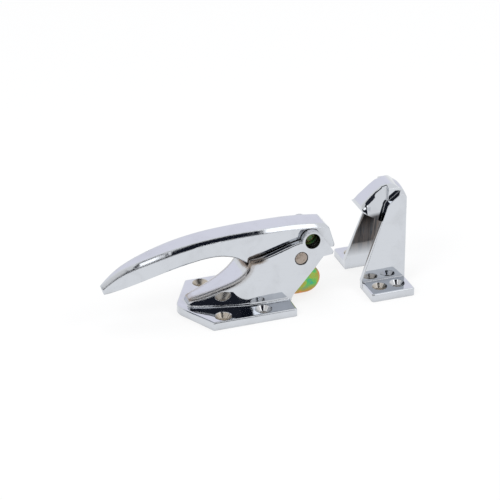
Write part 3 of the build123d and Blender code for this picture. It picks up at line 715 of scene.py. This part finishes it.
def put_out(tree, kind, shader):
    """Links a shader to a new output node."""
    add_node(tree, kind, {0: shader.outputs[0]})


# The floor is white to the camera and in reflections, and still takes a soft shadow
floor_reach = 6
seen_share = 0.8
mirrored_share = 0.92
floor_white = bpy.data.materials.new("sweep_white")
tree = bare_tree(floor_white)
matt = add_node(tree, "ShaderNodeBsdfDiffuse", {"Color": (0.86, 0.86, 0.86, 1.0)})
white = add_node(tree, "ShaderNodeEmission", {"Color": WHITE, "Strength": 1.0})
bright = add_node(tree, "ShaderNodeEmission", {"Color": WHITE, "Strength": 1.05})
path = add_node(tree, "ShaderNodeLightPath").outputs
seen = maths(tree, "MAXIMUM", path["Is Camera Ray"], path["Is Transmission Ray"])
look = mix_shaders(tree, product(tree, seen, seen_share), matt, white)
look = mix_shaders(tree, product(tree, path["Is Glossy Ray"], mirrored_share), look, bright)
put_out(tree, "ShaderNodeOutputMaterial", look)
corners = [
    (floor_reach * along, floor_reach * across, 0)
    for along, across in ((-1, -1), (1, -1), (1, 1), (-1, 1))
]
floor = new_object("floor", card_mesh("floor", corners, [(0, 1, 2, 3)], floor_white))

latch_middle = Vector((0.03, 0.0, 0.04))
card_distance = 1.9
card_step = 6.0


def glow_material(name, colour, strength):
    """Card of one even brightness."""
    material = bpy.data.materials.new(name)
    tree = bare_tree(material)
    glow = add_node(tree, "ShaderNodeEmission", {"Color": (*colour, 1.0), "Strength": strength})
    put_out(tree, "ShaderNodeOutputMaterial", glow)
    return material


def dome_card(name, azimuths, elevations, material, slant=0.0):
    """Card bent round the latch over a range of angles in degrees, seen in reflections only.

    Slant is how far its sides turn in azimuth per degree of elevation.
    """
    width = azimuths[1] - azimuths[0]
    height = elevations[1] - elevations[0]
    columns = ceil(width / card_step)
    rows = ceil(height / card_step)
    points = []
    for row in range(rows + 1):
        rise = height * row / rows
        for column in range(columns + 1):
            azimuth = azimuths[0] + width * column / columns + slant * rise
            toward = direction(azimuth, elevations[0] + rise)
            points.append(latch_middle + toward * card_distance)
    faces = [
        (first, first + 1, first + columns + 2, first + columns + 1)
        for row in range(rows)
        for first in range(row * (columns + 1), row * (columns + 1) + columns)
    ]
    made = new_object(name, card_mesh(name, points, faces, material))
    made.visible_camera = False
    made.visible_diffuse = False
    made.visible_shadow = False


flag_black = glow_material("flag_black", (0.010, 0.012, 0.020), 1.0)
flag_camera = glow_material("flag_camera", (0.024, 0.026, 0.036), 1.0)
wall_light = glow_material("wall_light", (0.86, 0.85, 0.84), 1.0)
wall_grey = glow_material("wall_grey", (0.80, 0.81, 0.83), 1.0)
back_wall = glow_material("back_wall", (1.0, 0.985, 1.07), 1.0)
window_white = glow_material("window_white", (1.0, 1.0, 1.0), 1.9)

# Black cloths over the camera and over the latch, with the windows beside and between them
dome_card("overhead_cloth", (-23, 26), (40, 66), flag_black, slant=0.35)
dome_card("overhead_cap", (-90, 36), (66, 77), flag_black)
dome_card("overhead_cap_right", (36, 62), (71, 77), flag_black)
dome_card("window_bar", (-45, -40.5), (36, 66), flag_black, slant=0.1)
dome_card("window_slat", (-28, -25.5), (42, 66), flag_black, slant=0.45)
dome_card("left_window_far", (-40.5, -28), (45, 66), window_white, slant=0.1)
dome_card("left_window", (-25.5, -23), (45, 66), window_white, slant=0.4)
dome_card("right_window", (33, 50), (40, 60), window_white)
dome_card("middle_window", (-1, 13), (36, 40), window_white)
# The camera on its stand and the table beside it, dark, and the room's walls
dome_card("camera_head", (-50, -22), (11, 45), flag_camera)
dome_card("camera_body", (-22, 4), (10, 40), flag_camera)
dome_card("camera_table", (-85, -50), (-1, 16), flag_camera)
dome_card("left_wall", (-85, -45), (45, 62), wall_light)
dome_card("left_wall_low", (-85, -50), (18, 45), wall_light)
dome_card("right_wall", (19, 38), (22, 39), wall_grey)
dome_card("back_wall", (120, 215), (12, 50), back_wall)

# The room gives a soft pale light, and is white where the camera or the chrome looks into it
world = bpy.data.worlds.new("studio")
bpy.context.scene.world = world
tree = bare_tree(world)
path = add_node(tree, "ShaderNodeLightPath").outputs
direct = maths(tree, "MAXIMUM", path["Is Camera Ray"], path["Is Glossy Ray"])
direct = maths(tree, "MAXIMUM", direct, path["Is Transmission Ray"])
room_tone = (0.96, 0.97, 1.0, 1.0)
room_strength = 0.55
room = add_node(tree, "ShaderNodeBackground", {"Color": room_tone, "Strength": room_strength})
white = add_node(tree, "ShaderNodeBackground", {"Color": WHITE, "Strength": 1.0})
put_out(tree, "ShaderNodeOutputWorld", mix_shaders(tree, direct, room, white))


def soft_lamp(name, place, aim, size, power):
    """Square soft box aimed at a point."""
    data = bpy.data.lights.new(name, "AREA")
    data.shape = "SQUARE"
    data.size = size
    data.energy = power
    lamp = new_object(name, data)
    lamp.location = place
    lamp.rotation_euler = (Vector(place) - Vector(aim)).to_track_quat("Z", "Y").to_euler()
    lamp.visible_glossy = False


soft_lamp("left_soft_box", (-1.6, -1.0, 1.9), (0.02, 0.0, 0.02), size=1.2, power=26.0)
soft_lamp("right_soft_box", (1.7, -0.8, 1.8), (0.05, 0.0, 0.02), size=1.2, power=18.0)
soft_lamp("top_soft_box", (0.1, 0.6, 2.4), (0.03, 0.0, 0.02), size=1.6, power=20.0)
